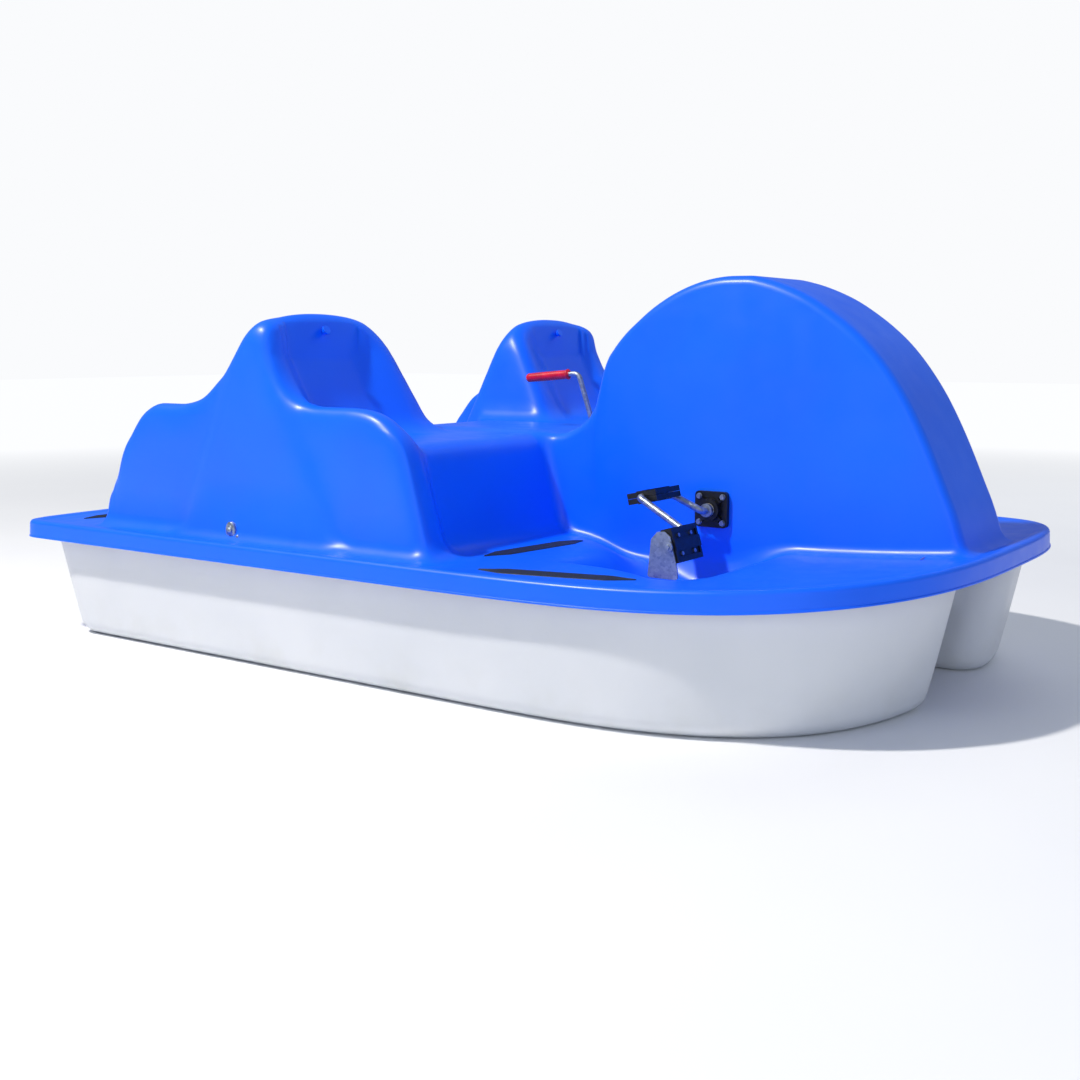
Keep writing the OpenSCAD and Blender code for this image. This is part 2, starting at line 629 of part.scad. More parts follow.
// ---- steering ----
link_z = 300;
rx = -rudder_back * kx;
module steering_bush() {
  color(black) translate([lever_x, 0, seat_z]) difference() {
    union() {
      cylinder(h = 7, r = 24, $fn = 48);
      translate([0, 0, -20]) cylinder(h = 21, r = 13.9, $fn = 48);
    }
    translate([0, 0, -30]) cylinder(h = 60, r = lever_r + run, $fn = 48);
  }
}
module steering_footstep() {
  color(black) translate([lever_x, 0, tunnel_height + t]) difference() {
    union() {
      cylinder(h = 6, r = 28, $fn = 48);
      cylinder(h = 24, r = 16, $fn = 48);
    }
    translate([0, 0, 3]) cylinder(h = 60, r = lever_r + run, $fn = 48);
  }
}
bend_z = seat_z + 22;
lever_top = [lever_x - 55, 0, bend_z + 158];
grip_end = [lever_x - 251, 0, bend_z + 141];
module steering_lever() {
  color(steel) union() {
    rod([lever_x, 0, tunnel_height + t + 5], [lever_x, 0, bend_z], lever_r);
    rod([lever_x, 0, bend_z], lever_top, lever_r);
    rod(lever_top, grip_end, lever_r);
    translate([lever_x, 0, bend_z]) sphere(r = lever_r + 0.6, $fn = 48);
    translate(lever_top) sphere(r = lever_r + 0.6, $fn = 48);
  }
}
module steering_grip() {
  v = grip_end - lever_top;
  u = v / norm(v);
  color(red) difference() {
    union() {
      rod(lever_top + 34 * u, grip_end + 4 * u, 14.5);
      rod(lever_top + 32 * u, lever_top + 40 * u, 17);
    }
    rod(lever_top + 20 * u, grip_end + 0.5 * u, lever_r + eps);
  }
}
module arm_body(x) {
  color(steel) translate([x, 0, link_z]) difference() {
    union() {
      translate([0, 0, -12]) cylinder(h = 20, r = lever_r + 10, $fn = 48);
      translate([-11, -arm_length, -4]) cube([22, arm_length, 8]);
      translate([0, -arm_length, -4]) cylinder(h = 8, r = 11, $fn = 48);
    }
    translate([0, 0, -30]) cylinder(h = 60, r = (x > 0 ? lever_r : bar_r) + eps, $fn = 48);
    translate([0, -arm_length, -20]) cylinder(h = 40, r = 4.05, $fn = 32);
  }
}
module pin_body(x) {
  color(steel) translate([x, -arm_length, link_z]) {
    translate([0, 0, -9]) cylinder(h = 5, r = 7, $fn = 6);
    translate([0, 0, -5]) cylinder(h = 18, r = 4, $fn = 32);
    translate([0, 0, 11]) cylinder(h = 5, r = 7, $fn = 6);
  }
}
module steering_arm() { arm_body(lever_x); }
module arm_pin() { pin_body(lever_x); }
module rudder_tiller() { arm_body(rx); }
module tiller_pin() { pin_body(rx); }
module steering_link() {
  color(steel) translate([0, -arm_length, link_z + 4.4]) difference() {
    union() {
      translate([rx, -9, 0]) cube([lever_x - rx, 18, 6]);
      for (x = [rx, lever_x]) translate([x, 0, 0]) cylinder(h = 6, r = 11, $fn = 48);
    }
    translate([rx, 0, -5]) cylinder(h = 20, r = 4.4, $fn = 32);
    translate([lever_x, 0, -5]) cylinder(h = 20, r = 4 + run, $fn = 32);
  }
}
module rudder_bush() {
  color(black) translate([rx, 0, tunnel_height]) difference() {
    union() {
      translate([0, 0, t]) cylinder(h = 8, r = 28, $fn = 48);
      translate([0, 0, -2]) cylinder(h = 40, r = 15.9, $fn = 48);
    }
    translate([0, 0, -30]) cylinder(h = 90, r = bar_r + run, $fn = 48);
  }
}
blade_top = tunnel_height - 14;
module rudder_post() {
  color(steel) translate([rx, 0, 0]) difference() {
    translate([0, 0, 40]) cylinder(h = link_z - 28, r = bar_r, $fn = 48);
    for (z = [65, 145]) translate([0, 0, z]) rotate([90, 0, 0])
      cylinder(h = 60, r = 3.1, center = true, $fn = 24);
    translate([-60, -3.1, 30]) cube([120, 6.2, blade_top - 28]);
  }
}
module rudder_blade() {
  color(steel) translate([rx, 0, 0]) difference() {
    along_y(-3, 3) rounded(20) polygon([[60, 24], [70, 110], [50, blade_top], [-150, blade_top], [-180, 24]]);
    for (z = [65, 145]) translate([0, 0, z]) rotate([90, 0, 0])
      cylinder(h = 60, r = 3.1, center = true, $fn = 24);
  }
}
module rudder_bolts() {
  color(steel) for (z = [65, 145]) translate([rx, 0, z]) rotate([90, 0, 0]) {
    cylinder(h = 28, r = 3, center = true, $fn = 24);
    for (s = [0, 1]) mirror([0, 0, s]) translate([0, 0, bar_r]) cylinder(h = 4, r = 5.5, $fn = 6);
  }
}

deck_shell();
hull_shell();
foam_starboard();
foam_port();
rim_screws();
strips_riser();
strips_rim();
strips_stern();
back_plugs();
drain_flanges();
drain_plugs();
tether_screws();
bearing_block_starboard();
bearing_block_port();
bearing_bush_starboard();
bearing_bush_port();
bearing_bolts();
bearing_nuts();
steering_bush();
steering_footstep();
rudder_bush();
wheel_hub();
wheel_side_starboard();
wheel_side_port();
wheel_blades();
blade_bolts();
blade_nuts();
hub_bolts();
hub_pins();
crank_starboard();
crank_port();
shaft_collars();
pin_washers();
pin_bolts();
pedal_si_front();
pedal_si_rear();
pedal_si_screws();
pedal_so_front();
pedal_so_rear();
pedal_so_screws();
pedal_so_plate();
pedal_pi_front();
pedal_pi_rear();
pedal_pi_screws();
pedal_po_front();
pedal_po_rear();
pedal_po_screws();
pedal_po_plate();
steering_lever();
steering_grip();
steering_arm();
arm_pin();
steering_link();
rudder_post();
rudder_tiller();
tiller_pin();
rudder_blade();
rudder_bolts();
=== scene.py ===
"""Pedal boat: the moulded skins, small fittings and finishes, over the CAD frame."""

import json
import math

import bpy
import numpy as np
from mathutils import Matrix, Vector


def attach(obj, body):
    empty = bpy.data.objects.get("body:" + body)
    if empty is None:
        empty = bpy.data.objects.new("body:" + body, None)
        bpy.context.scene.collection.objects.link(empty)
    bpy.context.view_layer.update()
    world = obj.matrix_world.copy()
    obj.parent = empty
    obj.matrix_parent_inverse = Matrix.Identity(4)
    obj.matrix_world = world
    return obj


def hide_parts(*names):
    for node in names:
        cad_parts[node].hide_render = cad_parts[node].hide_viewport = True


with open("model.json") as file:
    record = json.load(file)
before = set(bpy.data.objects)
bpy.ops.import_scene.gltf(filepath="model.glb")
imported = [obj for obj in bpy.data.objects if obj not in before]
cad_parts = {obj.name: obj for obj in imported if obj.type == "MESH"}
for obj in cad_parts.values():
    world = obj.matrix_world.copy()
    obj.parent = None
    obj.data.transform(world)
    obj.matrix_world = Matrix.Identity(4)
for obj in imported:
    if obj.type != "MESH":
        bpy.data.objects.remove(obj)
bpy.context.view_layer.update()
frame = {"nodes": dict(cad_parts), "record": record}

# ---- sizes, in metres ----
HALF_L, HALF_W = 1.462, 0.985  # the deck's edge
FLOOR, SEAT, REAR_SEAT = 0.360, 0.660, 0.600  # heights of the flat tops
FLANGE = 0.353  # where the hull's flange meets the deck's
ROOF = 0.190  # the roof of the tunnel between the pontoons
WATERLINE = 0.160
HOUSE_Y, HOUSE_AFT = 0.180, -0.420  # half the wheel housing's width, and where it ends aft
AXLE = np.array([0.659, 0.0, 0.468])
BOW_X, STERN_X = 0.100, -1.180  # where the ends start to curve in
BOW_N, STERN_N = 3.2, 12.0  # the powers of their superellipses
EDGE_IN = 0.040  # how far inside the edge the deck's sheet stops, under the rim
KEEL_R = 0.045  # the round along the bottom of a pontoon
HULL_TOP = 0.352
TUNNEL = (-1.270, 1.200, 0.192)  # the tunnel's roof: two ends and half its width
SLOT = (0.194, 1.140, 0.150)  # the wheel's slot in that roof, likewise
BEND, TIP = np.array([0.079, 0.0, 0.840]), np.array([-0.117, 0.0, 0.823])  # the lever's handle
LEVER_R = 0.008
DRAIN, TETHER = (-0.534, 0.9065, 0.393), (-0.503, 0.9105, 0.377)  # on the port wall; starboard mirrors them
BACKDROP = "#FAFBFD"


# ---- surfaces ----
def sheer(x):
    """How far the edge of the deck rises towards the bow: a power of 2.4 that starts at x 0.6, 0.042 at the tip."""
    return 0.042 * np.clip((x - 0.60) / (HALF_L - 0.60), 0, None) ** 2.4


def round_max(a, b, r):
    """The larger of two distances, with a parabola of width r where they are nearly equal."""
    h = np.maximum(r - np.abs(a - b), 0) / r
    return np.maximum(a, b) + h * h * r / 4


def round_min(a, b, r):
    """The smaller of two distances, with a parabola of width r where they are nearly equal."""
    return -round_max(-a, -b, r)


def along(x, xs, zs):
    """Height and slope of a profile through the points (xs, zs): a cubic through each, with limited end slopes."""
    xs, zs = np.asarray(xs, float), np.asarray(zs, float)
    h, d = np.diff(xs), np.diff(zs) / np.diff(xs)
    m = np.concatenate([[d[0]], (d[1:] * h[:-1] + d[:-1] * h[1:]) / (h[1:] + h[:-1]), [d[-1]]])
    flat = np.concatenate([[False], d[1:] * d[:-1] <= 0, [False]])
    m = np.where(flat, 0.0, m)
    i = np.clip(np.searchsorted(xs, x) - 1, 0, len(h) - 1)
    u = np.clip((x - xs[i]) / h[i], 0, 1)
    z = (
        zs[i] * (1 + 2 * u) * (1 - u) ** 2
        + h[i] * m[i] * u * (1 - u) ** 2
        + zs[i + 1] * u * u * (3 - 2 * u)
        + h[i] * m[i + 1] * u * u * (u - 1)
    )
    s = d[i] * 6 * u * (1 - u) + m[i] * (1 - u) * (1 - 3 * u) + m[i + 1] * u * (3 * u - 2)
    return z, s


# profiles, as tables of points: the housing and the arm wall's aft and fore tops along the boat, the seat back's top
# across it
HOUSE_X = [-0.50, 0.06, 0.098, 0.135, 0.168, 0.205, 0.232, 0.249, 0.262, 0.278, 0.292, 0.309, 0.343,
           0.394, 0.433, 0.476, 0.541, 0.605, 0.660, 0.742, 0.806, 0.881, 0.936, 0.992, 1.046, 1.101,
           1.155, 1.209, 1.264, 1.320, 1.348, 1.372, 1.395]
HOUSE_Z = [0.660, 0.660, 0.660, 0.664, 0.676, 0.698, 0.724, 0.757, 0.806, 0.861, 0.893, 0.917, 0.956,
           1.000, 1.030, 1.057, 1.088, 1.108, 1.117, 1.118, 1.106, 1.080, 1.054, 1.019, 0.979, 0.929,
           0.865, 0.785, 0.681, 0.556, 0.491, 0.420, 0.340]
WALL_X = [-1.150, -1.140, -1.122, -1.100, -1.075, -1.030, -0.985, -0.945, -0.900, -0.820, -0.770,
          -0.700, -0.636, -0.556, -0.479, -0.403, -0.330, 0.300]
WALL_Z = [0.330, 0.438, 0.490, 0.537, 0.601, 0.666, 0.718, 0.744, 0.757, 0.757, 0.762,
          0.784, 0.833, 0.900, 0.957, 0.992, 1.020, 1.021]
FRONT_X = [-1.40, -0.50, -0.460, -0.436, -0.415, -0.400, -0.385, -0.366, -0.340, -0.305, -0.265, -0.215, -0.150,
           -0.090, -0.050, -0.010, 0.031, 0.060, 0.083, 0.116, 0.149, 0.182, 0.196]
FRONT_Z = [1.031, 1.030, 1.005, 0.975, 0.935, 0.895, 0.855, 0.822, 0.797, 0.779, 0.768, 0.763, 0.763,
           0.762, 0.758, 0.748, 0.727, 0.703, 0.672, 0.595, 0.497, 0.393, 0.345]
BACK_Y = [0.20, 0.36, 0.42, 0.47, 0.53, 0.60, 0.66, 0.74, 0.80, 0.84, 0.87, 0.90]
BACK_Z = [0.90, 0.985, 1.010, 1.025, 1.036, 1.041, 1.039, 1.026, 1.008, 0.990, 0.968, 0.930]


def ramp(v, low, high):
    """A smooth step from 0 at low to 1 at high."""
    u = np.clip((v - low) / (high - low), 0, 1)
    return u * u * (3 - 2 * u)


def profile_gap(x, z, xs, zs):
    """Distance of (x, z) above a profile, measured square to it, plus how far x is past either end of it."""
    top, slope = along(x, xs, zs)
    past = np.maximum(np.maximum(xs[0] - x, x - xs[-1]), 0)
    return (z - top) / np.sqrt(1 + slope * slope) + past


def deck(x, y, z):
    """Distance outside the moulded deck. Seats, arm walls, seat backs and wheel housing are each the larger of the
    distances to their faces, and the floor is a plate less the foot bowls. Round minimums join them with fillets. A
    face that leans is divided by the length of its gradient, so that it stays a distance."""
    a = np.abs(y)
    floor = z - FLOOR - sheer(x)
    # the seats: flat tops, with faces that slope down to the floor
    riser = (x - 0.068 - 0.267 * (SEAT - z)) / 1.035
    front_seat = round_max(round_max(z - SEAT, riser, 0.050), (-0.530 - x), 0.030)
    rear_seat = round_max(z - REAR_SEAT, (-0.985 - 0.31 * (REAR_SEAT - z) - x) / 1.047, 0.050)
    rear_seat = round_max(rear_seat, x + 0.30, 0.03)
    # the seat backs: a scooped face, a sloping rear, a bell-shaped top and an inner side
    back_top = along(a, BACK_Y, BACK_Z)[0]
    scoop = 0.046 * ramp(a, 0.37, 0.52) * (1 - ramp(z, 0.90, 0.99))
    face = (x + 0.259 + scoop + 0.552 * (z - 0.68)) / 1.142
    rear = (-0.614 + 0.397 * (z - 0.68) - x) / 1.076
    outer = (a - 0.886 + 0.020 * (z - FLOOR) / 0.4) / 1.001
    side = (0.298 + 0.17 * (z - 0.68) - a) / 1.014
    back = round_max(round_max(face, rear, 0.030), round_max(z - back_top, side, 0.080), 0.050)
    back = round_max(back, outer, 0.045)
    # the arm walls, under the aft and fore profiles, and the wheel housing
    aft = profile_gap(x, z, WALL_X, WALL_Z)
    fore = profile_gap(x, z, FRONT_X, FRONT_Z)
    inner = 0.774 + 0.018 * (z - FLOOR) / 0.4 - a
    slab = round_max(inner, outer, 0.060)
    wall = round_max(slab, round_max(aft, fore, 0.060), 0.050)
    house = round_max(profile_gap(x, z, HOUSE_X, HOUSE_Z), np.maximum(a - HOUSE_Y, HOUSE_AFT - x), 0.036)
    # the floor plate less its bowls, and all joined
    solid = np.maximum(round_min(front_seat, rear_seat, 0.030), a - 0.83)
    solid = round_min(solid, wall, 0.055)
    solid = round_min(solid, back, 0.060)
    plate = round_max(floor, -foot_bowl(x, a, z), 0.045)
    solid = round_min(solid, plate, 0.055)
    return round_min(solid, house, 0.040)


def foot_bowl(x, a, z):
    """Distance outside the hollow under a pair of pedals: a trough round the axle, as long as the crank is wide, and
    a shallow dish whose rim runs slantwise out from the housing."""
    r = np.hypot(x - AXLE[0], z - AXLE[2])
    trough = round_max(r - 0.226, np.maximum(0.203 - a, a - 0.622), 0.05)
    slant = ((a - 0.26) - (x - 0.32)) / 1.414
    under = (0.36 - z) * 0.80
    dish = round_max(slant * 0.55 + under, (x - 0.83) * 0.55 + under, 0.05)
    dish = round_max(dish, a - 0.72, 0.06)
    dish = round_max(dish, 0.300 - z, 0.03)
    dish = round_max(dish, 0.150 - a, 0.02)
    return round_min(trough, dish, 0.06)


def spaced(stops, steps):
    """Grid lines between the stops, that many in each gap, evenly set within it."""
    parts = [np.linspace(p, q, n, endpoint=False) for p, q, n in zip(stops[:-1], stops[1:], steps)]
    return np.concatenate(parts + [[stops[-1]]])


def mesh_of(name, verts, faces):
    """A mesh object from whole arrays of corners and faces, smooth shaded, at the origin."""
    me = bpy.data.meshes.new(name)
    me.from_pydata(np.asarray(verts, float).tolist(), [], faces if isinstance(faces, list) else faces.tolist())
    me.update()
    me.polygons.foreach_set("use_smooth", np.ones(len(me.polygons), bool))
    ob = bpy.data.objects.new(name, me)
    bpy.context.scene.collection.objects.link(ob)
    return ob


def grid_faces(m, n, wrap_m=False, wrap_n=False, start=0):
    """Quads of an m by n grid of corners, row by row, joined end to end where it wraps."""
    i = np.arange(m if wrap_m else m - 1)[:, None]
    j = np.arange(n if wrap_n else n - 1)[None, :]
    i2, j2 = (i + 1) % m, (j + 1) % n
    return start + np.stack([i * n + j, i2 * n + j, i2 * n + j2, i * n + j2], -1).reshape(-1, 4)


def outline(count, inset=0.0):
    """Even steps round the deck's edge, with outward directions: superellipse bow and stern ends on straight sides."""
    t = np.linspace(0, np.pi / 2, 400)
    c, s = np.cos(t), np.sin(t)
    bow = np.stack([BOW_X + (HALF_L - BOW_X) * c ** (2 / BOW_N), HALF_W * s ** (2 / BOW_N)], 1)
    c, s = c[::-1], s[::-1]
    stern = np.stack([STERN_X - (HALF_L + STERN_X) * c ** (2 / STERN_N), HALF_W * s ** (2 / STERN_N)], 1)
    half = np.concatenate([bow, stern])
    loop = np.concatenate([half, (half * [1, -1])[::-1]])
    return evenly(loop, count, inset)


def evenly(loop, count, inset=0.0):
    """Even steps by length round a closed line, with outward unit directions, moved inwards by the inset."""
    loop = loop[np.r_[True, np.hypot(*np.diff(loop, axis=0).T) > 1e-6]]
    loop = np.concatenate([loop, loop[:1]])
    s = np.r_[0, np.cumsum(np.hypot(*np.diff(loop, axis=0).T))]
    at = np.linspace(0, s[-1], count, endpoint=False)
    p = np.stack([np.interp(at, s, loop[:, 0]), np.interp(at, s, loop[:, 1])], 1)
    d = np.roll(p, -1, 0) - np.roll(p, 1, 0)
    n = np.stack([d[:, 1], -d[:, 0]], 1) / np.hypot(*d.T)[:, None]
    return p - inset * n, n


def rounded(points, radii, steps=6):
    """A line through the points with each corner swapped for an arc of its radius, open at both ends."""
    out = [np.asarray(points[0], float)[None]]
    for k in range(1, len(points) - 1):
        p, q, r = (np.asarray(points[j], float) for j in (k - 1, k, k + 1))
        u, v = (p - q) / np.linalg.norm(p - q), (r - q) / np.linalg.norm(r - q)
        half = np.arccos(np.clip(u @ v, -1, 1)) / 2
        cut = radii[k] / np.tan(half)
        mid = (u + v) / np.linalg.norm(u + v)
        c = q + mid * radii[k] / np.sin(half)
        a, b = q + u * cut - c, q + v * cut - c
        w = np.linspace(0, 1, steps)[:, None]
        span = np.arccos(np.clip(a @ b / max(a @ a, 1e-12), -1, 1))
        out.append(c + (np.sin((1 - w) * span) * a + np.sin(w * span) * b) / max(np.sin(span), 1e-9))
    return np.concatenate(out + [np.asarray(points[-1], float)[None]])


def deck_height(x, y):
    """The height where the distance of deck() is nil over each point, found by halving."""
    low, high = np.full(x.shape, 0.20), np.full(x.shape, 1.20)
    for _ in range(26):
        mid = (low + high) / 2
        inside = deck(x, y, mid) < 0
        low, high = np.where(inside, mid, low), np.where(inside, high, mid)
    return (low + high) / 2


def deck_skin():
    """The top moulding: a sheet of grid points at deck_height. Grid lines crowd where walls are steep, and faces past
    the sheet's own edge, hidden under the rim, are left out."""
    xs = spaced(
        [-1.44, -1.16, -1.02, -0.94, -0.68, -0.45, -0.25, 0.00, 0.20, 0.31, 0.45, 0.88, 1.30, 1.44],
        [16, 16, 8, 22, 30, 22, 20, 24, 18, 14, 38, 36, 14],
    )
    half = spaced(
        [0, 0.140, 0.174, 0.1794, 0.1806, 0.186, 0.214, 0.29, 0.44, 0.60, 0.745, 0.800, 0.848, 0.892, 0.93, 0.96],
        [8, 8, 3, 1, 3, 7, 7, 16, 14, 12, 10, 7, 11, 4, 2],
    )
    ys = np.concatenate([-half[:0:-1], half])
    x, y = np.meshgrid(xs, ys, indexing="ij")
    verts = np.stack([x, y, deck_height(x, y)], -1).reshape(-1, 3)
    faces = grid_faces(len(xs), len(ys))[:, ::-1]
    c = verts[faces].mean(1)
    to_bow = np.clip((c[:, 0] - BOW_X) / (HALF_L - EDGE_IN - BOW_X), 0, None)
    to_stern = np.clip((STERN_X - c[:, 0]) / (HALF_L - EDGE_IN + STERN_X), 0, None)
    f = np.abs(c[:, 1]) / (HALF_W - EDGE_IN)
    keep = (to_bow**BOW_N + f**BOW_N < 1) & (to_stern**STERN_N + f**STERN_N < 1)
    faces = faces[keep]
    used, inv = np.unique(faces, return_inverse=True)
    ob = mesh_of("deck_moulding", verts[used], inv.reshape(-1, 4))
    return up_faces(ob)


def up_faces(ob):
    """Turns every face so that it looks outwards, by the sign of its height direction, on an open upper skin."""
    me = ob.data
    n = np.zeros(len(me.polygons) * 3, np.float32)
    me.polygons.foreach_get("normal", n)
    if n.reshape(-1, 3)[:, 2].sum() < 0:
        me.flip_normals()
    return ob


def rim():
    """The rolled edge: a section of (outward, up) points carried round the outline, raised by the sheer."""
    pts = [(-0.0085, 0.330), (-0.0080, 0.3120), (0.0024, 0.3120), (0.0018, 0.3165), (-0.0006, 0.3175),
           (-0.0030, 0.3675), (-0.0300, 0.3665), (-0.0460, 0.3625), (-0.0600, 0.3618), (-0.0800, 0.3606),
           (-0.0990, 0.3580)]
    rad = [0, 0.001, 0.0015, 0.001, 0.001, 0.0130, 0.012, 0.012, 0.012, 0.02, 0]
    sec = rounded(pts, rad, 6)
    p, n = outline(900)
    flat = p[:, None, :] + n[:, None, :] * sec[None, :, :1]
    verts = np.concatenate([flat, sec[None, :, 1:] + sheer(flat[..., :1])], -1)
    faces = grid_faces(len(p), len(sec), wrap_m=True)
    return outward(mesh_of("deck_rim", verts.reshape(-1, 3), faces), (0, 0, 0.2))


def outward(ob, centre):
    """Turns the mesh over if most of its area faces the given inner point."""
    me = ob.data
    k = len(me.polygons)
    n, c, a = np.zeros(k * 3, np.float32), np.zeros(k * 3, np.float32), np.zeros(k, np.float32)
    me.polygons.foreach_get("normal", n)
    me.polygons.foreach_get("center", c)
    me.polygons.foreach_get("area", a)
    if (((c.reshape(-1, 3) - centre) * n.reshape(-1, 3)).sum(1) * a).sum() < 0:
        me.flip_normals()
    return ob


def hull_ring(z, count=520):
    """The outline of one pontoon at height z: straight sides, a superellipse bow and round corners, wider and longer
    with height; below KEEL_R it is drawn in along its outward directions by a quarter circle."""
    k = z / 0.33
    back, side, reach = -1.290 - 0.070 * k, 0.912 + 0.033 * k, 1.025 + 0.075 * k
    inner, bow_from, power = 0.186 - 0.012 * k, 0.30, 3.1
    t = np.linspace(0, np.pi / 2, 400)
    bx = bow_from + reach * np.cos(t) ** (2 / power)
    by = side * np.sin(t) ** (2 / power)
    pick = by > inner + 0.14
    curve = np.stack([bx[pick], by[pick]], 1)
    nose = [bx[np.argmin(np.abs(by - inner - 0.02))] + 0.004, inner]
    corner = rounded([[0.0, inner], nose, curve[0], curve[1]], [0, 0.095, 0.0001, 0], 24)
    stern = rounded([[-1.0, side], [back, side], [back, inner], [-1.0, inner]], [0, 0.080, 0.060, 0], 24)
    p, n = evenly(np.concatenate([corner[:-2], curve, stern]), count)
    d = KEEL_R - np.sqrt(max(KEEL_R**2 - max(KEEL_R - z, 0) ** 2, 0))
    return np.concatenate([p - d * n, np.full((count, 1), z)], 1)


def hull():
    """The white lower moulding in one mesh: two flat-bottomed pontoons lofted through rings of growing height, the
    tunnel's roof as a flat ring between two rectangles, the wheel slot's lip and the tunnel's two end walls."""
    t = np.linspace(0, np.pi / 2, 9)[1:]
    levels = np.r_[KEEL_R * (1 - np.cos(t)), np.linspace(0.06, 0.30, 9), 0.33, HULL_TOP]
    verts, faces, start = [], [], 0
    rings = np.stack([hull_ring(z) for z in np.r_[0.0002, levels]])
    rings[0, :, 2] = 0.0
    rings[:, :, 2] += sheer(rings[:, :, 0]) * (rings[:, :, 2] / HULL_TOP) ** 2
    m, n = rings.shape[:2]
    for s in (1, -1):
        verts.append((rings * [1, s, 1]).reshape(-1, 3))
        quads = grid_faces(m, n, wrap_n=True, start=start)
        cap = start + np.arange(n)
        faces += (quads if s > 0 else quads[:, ::-1]).tolist() + [(cap if s > 0 else cap[::-1])[::-1].tolist()]
        start += m * n
    side = 40
    u = np.linspace(0, 1, side, endpoint=False)[:, None]

    def box(x0, x1, half, grow=0.0):
        """A rectangle's outline, that many steps a side, moved out by grow."""
        x0, x1, half = x0 - grow, x1 + grow, half + grow
        c = np.array([[x0, -half], [x1, -half], [x1, half], [x0, half]])
        return np.concatenate([c[k] + (c[(k + 1) % 4] - c[k]) * u for k in range(4)])

    levels = [
        (box(*TUNNEL), ROOF),
        (box(*SLOT, grow=0.006), ROOF),
        (box(*SLOT, grow=0.0035), ROOF + 0.002),
        (box(*SLOT), ROOF + 0.008),
        (box(*SLOT), 0.346),
        (box(0.180, 1.156, 0.166), 0.350),
    ]
    verts.append(np.concatenate([np.concatenate([b, np.full((len(b), 1), z)], 1) for b, z in levels]))
    faces += grid_faces(len(levels), 4 * side, wrap_n=True, start=start).tolist()
    start += len(verts[-1])
    across = 9
    for s, near, far, lean, wide, top in (
        (-1, TUNNEL[0], -1.300, 0.014, 0.215, FLOOR),
        (1, TUNNEL[1], 1.232, 0.050, 0.230, FLOOR + 0.03),
    ):
        sec = rounded([(near, ROOF), (far, ROOF), (far + s * lean, top)], [0, 0.025, 0], 12)
        yy = np.linspace(-wide, wide, across)
        v = np.stack([np.repeat(sec[:, 0], across), np.tile(yy, len(sec)), np.repeat(sec[:, 1], across)], 1)
        verts.append(v)
        q = grid_faces(len(sec), across, start=start)
        faces += (q[:, ::-1] if s > 0 else q).tolist()
        start += len(v)
    return mesh_of("hull_moulding", np.concatenate(verts), faces)


def strips(name, p, q, wide=0.066, rise=0.0026):
    """A ribbed black strip laid on the deck from p to q, and its mirror: seven ribs run along, both ends narrow to a
    point, and the edges turn down into the deck."""
    m, n, sunk, point, ribs, groove = 160, 57, 0.0015, 0.075, 7, 0.0010
    u, v = np.linspace(0, 1, m)[:, None], np.linspace(-1, 1, n)[None, :]
    p, q = np.array(p), np.array(q)
    run = np.linalg.norm(q - p)
    d = (q - p) / run
    end = np.minimum(u, 1 - u) * run
    half = wide / 2 * np.clip(end / point, 0.03, 1)
    x = p[0] + d[0] * run * u - d[1] * v * half
    y = p[1] + d[1] * run * u + d[0] * v * half
    edge = np.clip((1 - np.abs(v)) / 0.07, 0, 1) * np.clip(end / 0.004, 0, 1)
    z = deck_height(x, y) - sunk + edge * (rise + sunk - groove / 2 * (1 + np.cos(ribs * np.pi * v)))
    one = np.stack([x, y, z], -1).reshape(-1, 3)
    quads = grid_faces(m, n)
    faces = np.concatenate([quads, quads[:, ::-1] + m * n])
    return up_faces(mesh_of(name, np.concatenate([one, one * [1, -1, 1]]), faces))


def screws(count=44, inset=0.030):
    """Pan-head screws up through the two flanges, all round the edge: each a turned profile of radii and heights."""
    sides = 20
    p, _ = outline(count, inset)
    rad = np.array([0.0, 0.0022, 0.0035, 0.0040, 0.0040, 0.0020, 0.0020, 0.0])
    up = np.array([-0.0068, -0.0066, -0.0058, -0.0046, -0.0036, -0.0036, 0.0120, 0.0130]) + FLANGE
    a = np.linspace(0, 2 * np.pi, sides, endpoint=False)
    ring = np.stack([rad[:, None] * np.cos(a), rad[:, None] * np.sin(a), up[:, None] + 0 * a], -1).reshape(-1, 3)
    at = np.stack([p[:, 0], p[:, 1], sheer(p[:, 0])], 1)
    verts = (at[:, None] + ring[None]).reshape(-1, 3)
    quads = grid_faces(len(rad), sides, wrap_n=True)
    faces = (quads[None] + np.arange(len(p))[:, None, None] * len(ring)).reshape(-1, 4)
    return mesh_of("edge_screws", verts, faces)


def turned(name, x, y, z, rad, out, squash=1.0, sides=48):
    """A turned fitting on each side wall: rings of the given radii, from the middle of its face to its foot, at
    distances out from the wall, narrowed along the boat by squash."""
    a = np.linspace(0, 2 * np.pi, sides, endpoint=False)
    rad, out = np.array(rad)[:, None], np.array(out)[:, None]
    one = np.stack([x + squash * rad * np.cos(a), y + out + 0 * a, z + rad * np.sin(a)], -1).reshape(-1, 3)
    quads = grid_faces(len(rad), sides, wrap_n=True)
    faces = np.concatenate([quads[:, ::-1], quads + len(one)])
    return mesh_of(name, np.concatenate([one, one * [1, -1, 1]]), faces)


def swept(path, rad, sides=32):
    """Corners of a round bar along a path in one upright plane: circles square to the path's direction."""
    d = np.gradient(path, axis=0)
    d /= np.linalg.norm(d, axis=1)[:, None]
    side = np.array([0.0, 1.0, 0.0])
    up = np.cross(d, side)
    a = np.linspace(0, 2 * np.pi, sides, endpoint=False)
    ring = np.cos(a)[None, :, None] * side + np.sin(a)[None, :, None] * up[:, None, :]
    return path[:, None, :] + np.asarray(rad).reshape(-1, 1, 1) * ring


